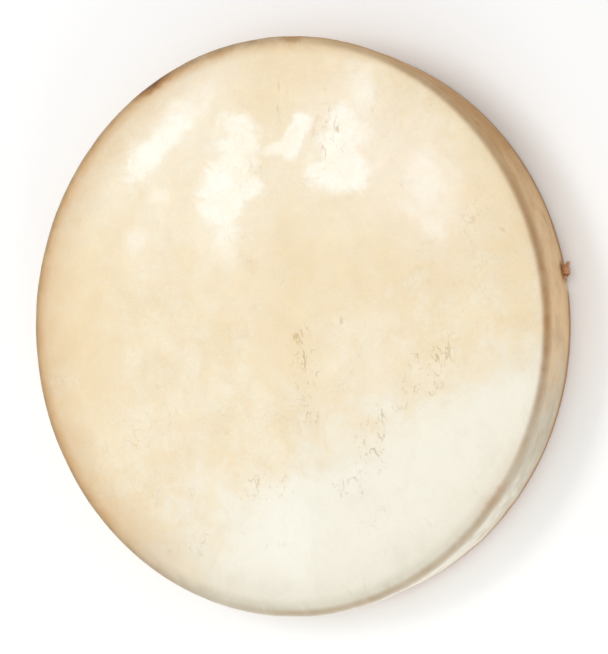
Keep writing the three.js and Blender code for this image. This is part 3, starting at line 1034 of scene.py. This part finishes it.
class DRUM_OT_lace(bpy.types.Operator):
    """Thread the leather lace across the back and tie its ends outside"""

    bl_idname = "frame_drum.lace"
    bl_label = "Grip Lace"

    def route(self, lace):
        """The lace's middle line, the way that its flat side faces, and its thickness as a share, row by row.

        It starts at one cut end, winds round the core of the knot, goes in through a hole and across the drum
        with a sag of 1 - (x / reach)^2, turns outside the far wall, comes back and ends through the knot."""
        r, s, h, b = OUTER_RADIUS, lace.spacing, lace.height, lace.bend
        reach = r - lace.run_inset
        up = np.array([0.0, 0.0, 1.0])

        def hang(x):
            return h - lace.sag * (1 - (x / reach) ** 2)

        def placed(points):
            return np.array([r, 0.0, h]) + np.array(points) * MM

        def strand(side):
            """One strand from the far side to the near one, twisted with the other in the middle."""
            run = np.linspace(reach, lace.twist_length / 2, 5)[:-1]
            share = (reach - run) / (reach - lace.twist_length / 2)
            beside = side * (s / 2 + (lace.twist_radius - s / 2) * share)
            u = np.linspace(0, 1, 41)
            x = (u - 0.5) * lace.twist_length
            angle = lace.twist_turns * (2 * np.pi * u - np.sin(2 * np.pi * u))
            out = side * lace.twist_radius
            twist = np.stack([x, out * np.cos(angle), hang(x) + out * np.sin(angle)], -1)
            near = np.stack([run, beside, hang(run)], -1)
            far = near * np.array([-1, 1, 1])
            return np.vstack([far, twist, near[::-1]])

        turn = np.linspace(0, np.pi / 2, 5)
        far_turn = np.stack([-(r + b * np.sin(turn)), s / 2 - b + b * np.cos(turn), np.full(5, h)], -1)

        # The knot: windings side by side along a barrel, down to where the lace turns to its hole
        core = np.array([r + lace.knot_out, 0.0, h])
        winding = np.radians(np.linspace(1035, 250, 27))
        along = np.linspace(2.3, -2.5, 27)
        barrel = lace.knot_radius - 0.08 * MM * along**2
        wound = core + np.stack([barrel * np.cos(winding), along * MM, barrel * np.sin(winding)], -1)
        sections = [
            (placed(FIRST_END), up, 0.85),
            (wound, (wound - core) * np.array([1, 0, 1]), 0.85),
            (placed(INTO_HOLE), up, 0.95),
            (strand(-1)[::-1], up, 1.0),
            (far_turn * np.array([1, -1, 1]), up, 0.95),
            (far_turn[::-1], up, 0.95),
            (strand(1), up, 1.0),
            (placed(OUT_OF_HOLE), up, 0.95),
            (placed(LAST_END), up, 0.8),
        ]
        points = np.vstack([p for p, _, _ in sections])
        facing = np.vstack([np.broadcast_to(f, p.shape) for p, f, _ in sections])
        facing = facing / np.linalg.norm(facing, axis=1, keepdims=True)
        size = np.concatenate([np.full(len(p), t) for p, _, t in sections])
        return np.column_stack([points, facing, size])

    def execute(self, context):
        lace = context.scene.drum_lace
        path = smooth_path(self.route(lace), 6)
        middle, facing, size = path[:, :3], path[:, 3:6], path[:, 6]
        ahead = np.gradient(middle, axis=0)
        ahead /= np.linalg.norm(ahead, axis=1, keepdims=True)
        across = np.cross(facing, ahead)
        across /= np.linalg.norm(across, axis=1, keepdims=True)
        thick = np.cross(ahead, across)
        # The section is a rounded oblong: |x|^3 + |y|^3 = 1, stretched to the lace's width and thickness
        sides = 16
        angle = np.arange(sides) * 2 * np.pi / sides
        c, s = np.cos(angle), np.sin(angle)
        round_off = (np.abs(c) ** 3 + np.abs(s) ** 3) ** (-1 / 3)
        travelled = np.concatenate([[0.0], np.cumsum(np.linalg.norm(np.diff(middle, axis=0), axis=1))])
        wobble = 1 + 0.05 * waves(middle, 9 * MM, 8)
        half = (size * wobble)[:, None]
        rings = (
            middle[:, None, :]
            + across[:, None, :] * (half * (lace.width / 2) * (c * round_off)[None, :])[..., None]
            + thick[:, None, :] * (half * (lace.thickness / 2) * (s * round_off)[None, :])[..., None]
        )
        quads = ring_quads(len(rings), sides)[:, ::-1]
        fans = end_fans(len(rings), sides)
        from_end = np.minimum(travelled, travelled[-1] - travelled)
        corner = np.abs(np.sin(2 * angle))
        flat_uv = np.stack(np.broadcast_arrays(from_end[:, None], corner[None, :]), -1).reshape(-1, 2)
        flat_uv = np.vstack([flat_uv, [[0, 0], [0, 0]]])
        uv = flat_uv[np.concatenate([quads.ravel(), fans.ravel()])]
        points = np.vstack([rings.reshape(-1, 3), middle[:1], middle[-1:]])
        strip = new_object("lace_strip", points, (quads, fans), uv)
        strip.data.materials.append(lace_material(lace))
        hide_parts("grip_lace")
        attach(strip, "root")
        return {"FINISHED"}


class DRUM_OT_studio(bpy.types.Operator):
    """Set the pale floor, the soft lights and the camera"""

    bl_idname = "frame_drum.studio"
    bl_label = "Studio"

    def execute(self, context):
        scene = context.scene
        studio = scene.drum_studio
        right = Vector((math.cos(SHOWN_SIDE), math.sin(SHOWN_SIDE), 0.0))
        top = Vector((-math.sin(SHOWN_SIDE), math.cos(SHOWN_SIDE), 0.0))
        face = Vector((0.0, 0.0, DEPTH))

        # The drum's own axes as the camera sees them, and the camera's axes back in the drum's frame
        t, f = studio.camera_tilt, studio.camera_roll
        axis = Vector((-math.sin(t) * math.cos(f), -math.sin(t) * math.sin(f), math.cos(t)))
        side = Vector((math.cos(t) * math.cos(f), math.cos(t) * math.sin(f), math.sin(t)))
        seen = Matrix((side, axis.cross(side), axis)).transposed()
        world = Matrix((right, top, Vector((0.0, 0.0, 1.0)))).transposed() @ seen.transposed()
        camera_data = bpy.data.cameras.new("camera")
        camera_data.sensor_width = 36.0
        camera_data.lens = studio.lens
        camera_data.clip_start = 0.05
        camera_data.clip_end = 100.0
        camera = bpy.data.objects.new("camera", camera_data)
        scene.collection.objects.link(camera)
        camera.matrix_world = Matrix.Translation(
            face + world @ Vector((studio.camera_right, studio.camera_up, studio.camera_distance))
        ) @ world.to_4x4()
        scene.camera = camera

        # The floor is open under the drum, where the drum hides the opening, so that its back is lit too
        steps = 96
        angles = np.arange(steps) * 2 * np.pi / steps
        rims = np.array([[OUTER_RADIUS - studio.floor_inset, 0.0], [studio.floor_reach, 0.0]])
        rims = turned(rims[:, None, :], angles[None, :])
        floor = new_object("studio_floor", rims.reshape(-1, 3), (ring_quads(2, steps), np.zeros((0, 3), int)))
        floor.data.materials.append(floor_material(studio))

        def softbox(name, place, size, power):
            """A soft light turned to the face's middle, its place right, up and out from there in metres."""
            data = bpy.data.lights.new(name, "AREA")
            data.shape = "RECTANGLE"
            data.size, data.size_y = size
            data.energy = power
            box = bpy.data.objects.new(name, data)
            scene.collection.objects.link(box)
            away = right * place[0] + top * place[1] + Vector((0.0, 0.0, place[2]))
            box.location = face + away
            box.rotation_euler = away.to_track_quat("Z", "Y").to_euler()
            box.visible_camera = False

        softbox("window_light", (-0.62, 0.27, 1.2), (0.62, 0.34), studio.key_power)
        softbox("overhead_light", (0.0, 0.05, 1.8), (2.2, 2.2), studio.top_power)
        softbox("low_light", (0.55, -1.25, 0.5), (0.9, 0.5), studio.low_power)
        softbox("back_light", (0.5, 0.5, -1.3), (0.9, 0.9), studio.back_power)

        world_data = bpy.data.worlds.new("room")
        scene.world = world_data
        world_data.use_nodes = True
        tree = world_data.node_tree
        tree.nodes.clear()
        lit = put(tree, "ShaderNodeBackground", {"Color": (1.0, 1.0, 1.0, 1.0), "Strength": studio.room})
        shown = put(tree, "ShaderNodeBackground", {"Color": rgba(studio.backdrop), "Strength": 1.0})
        to_camera = tree.nodes.new("ShaderNodeLightPath").outputs["Is Camera Ray"]
        mixed = put(tree, "ShaderNodeMixShader", {0: to_camera, 1: lit.outputs[0], 2: shown.outputs[0]})
        tree.links.new(mixed.outputs[0], tree.nodes.new("ShaderNodeOutputWorld").inputs["Surface"])
        scene.view_settings.view_transform = "Standard"
        return {"FINISHED"}


class DRUM_PT_sidebar(bpy.types.Panel):
    bl_label = "Rawhide Frame Drum"
    bl_space_type = "VIEW_3D"
    bl_region_type = "UI"
    bl_category = "Drum"

    def draw(self, context):
        for operator, name, _ in PIECES:
            box = self.layout.box()
            settings = getattr(context.scene, name)
            for key in settings.bl_rna.properties.keys():
                if key not in ("rna_type", "name"):
                    box.prop(settings, key)
            box.operator(operator.bl_idname)


PIECES = (
    (DRUM_OT_rawhide, "drum_rawhide", RawhideSettings),
    (DRUM_OT_hoop, "drum_hoop", HoopSettings),
    (DRUM_OT_lace, "drum_lace", LaceSettings),
    (DRUM_OT_studio, "drum_studio", StudioSettings),
)


def register():
    for operator, name, settings in PIECES:
        bpy.utils.register_class(settings)
        bpy.utils.register_class(operator)
        setattr(bpy.types.Scene, name, PointerProperty(type=settings))
    bpy.utils.register_class(DRUM_PT_sidebar)


def unregister():
    bpy.utils.unregister_class(DRUM_PT_sidebar)
    for operator, name, settings in reversed(PIECES):
        delattr(bpy.types.Scene, name)
        bpy.utils.unregister_class(operator)
        bpy.utils.unregister_class(settings)


def main():
    register()
    build_stain_group()
    build_crease_group()
    build_skin_group()
    build_hair_group()
    bpy.ops.frame_drum.rawhide()
    bpy.ops.frame_drum.hoop()
    bpy.ops.frame_drum.lace()
    bpy.ops.frame_drum.studio()


if __name__ == "__main__":
    main()
